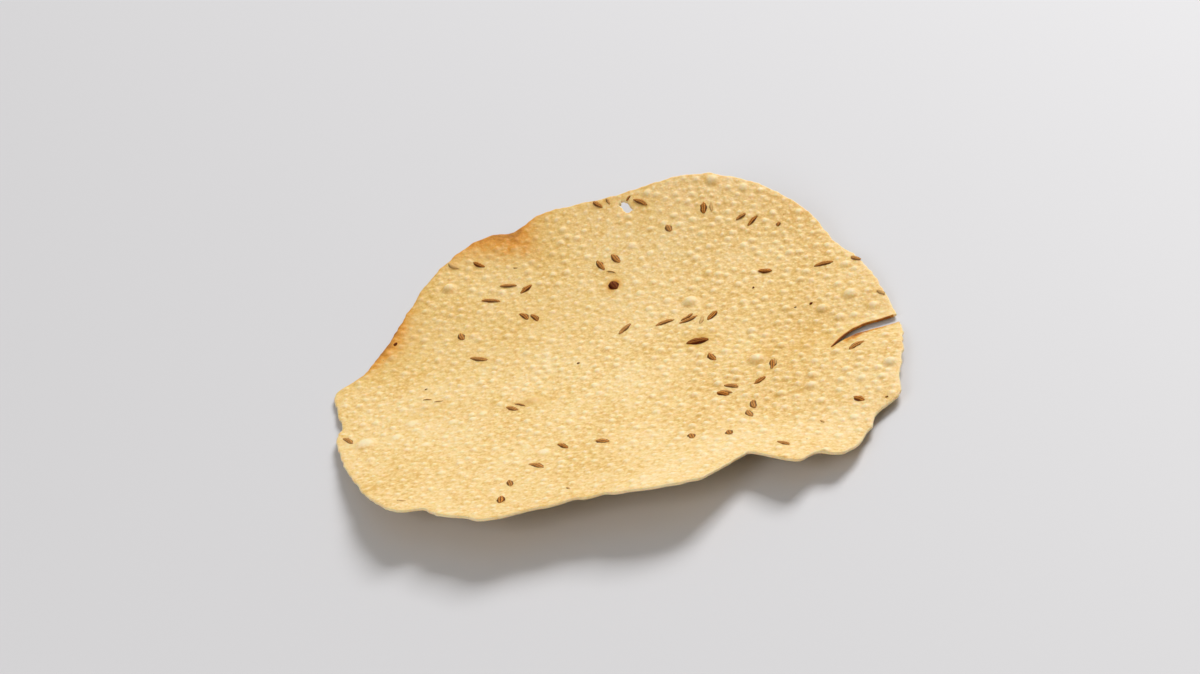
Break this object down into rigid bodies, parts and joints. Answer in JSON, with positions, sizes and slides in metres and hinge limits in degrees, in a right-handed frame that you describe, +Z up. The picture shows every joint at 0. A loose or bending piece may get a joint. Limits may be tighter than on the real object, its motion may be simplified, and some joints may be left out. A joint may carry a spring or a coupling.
{
  "type": "papadum",
  "caption": "Thin round fried wafer, bent into a shallow trough and blistered all over, with a cracked, scalloped edge and cumin seeds baked in.",
  "frame": {"origin": "under the middle of the wafer, on the plane it rests on", "axes": "+Z up, out of the face that shows; +X to the right and +Y to the back as the picture shows it, with the crack at +X"},
  "size_m": [0.1659, 0.1695, 0.0141],
  "materials": {
    "fried_dough": "crisp fried lentil dough, pale gold, with a faint oily shine on the blisters and toasted patches at the left edge",
    "cumin_seed": "fried cumin seeds, matt brown with fine ridges"
  },
  "bodies": {
    "root": {"papadum": "fried_dough"}
  },
  "joints": []
}
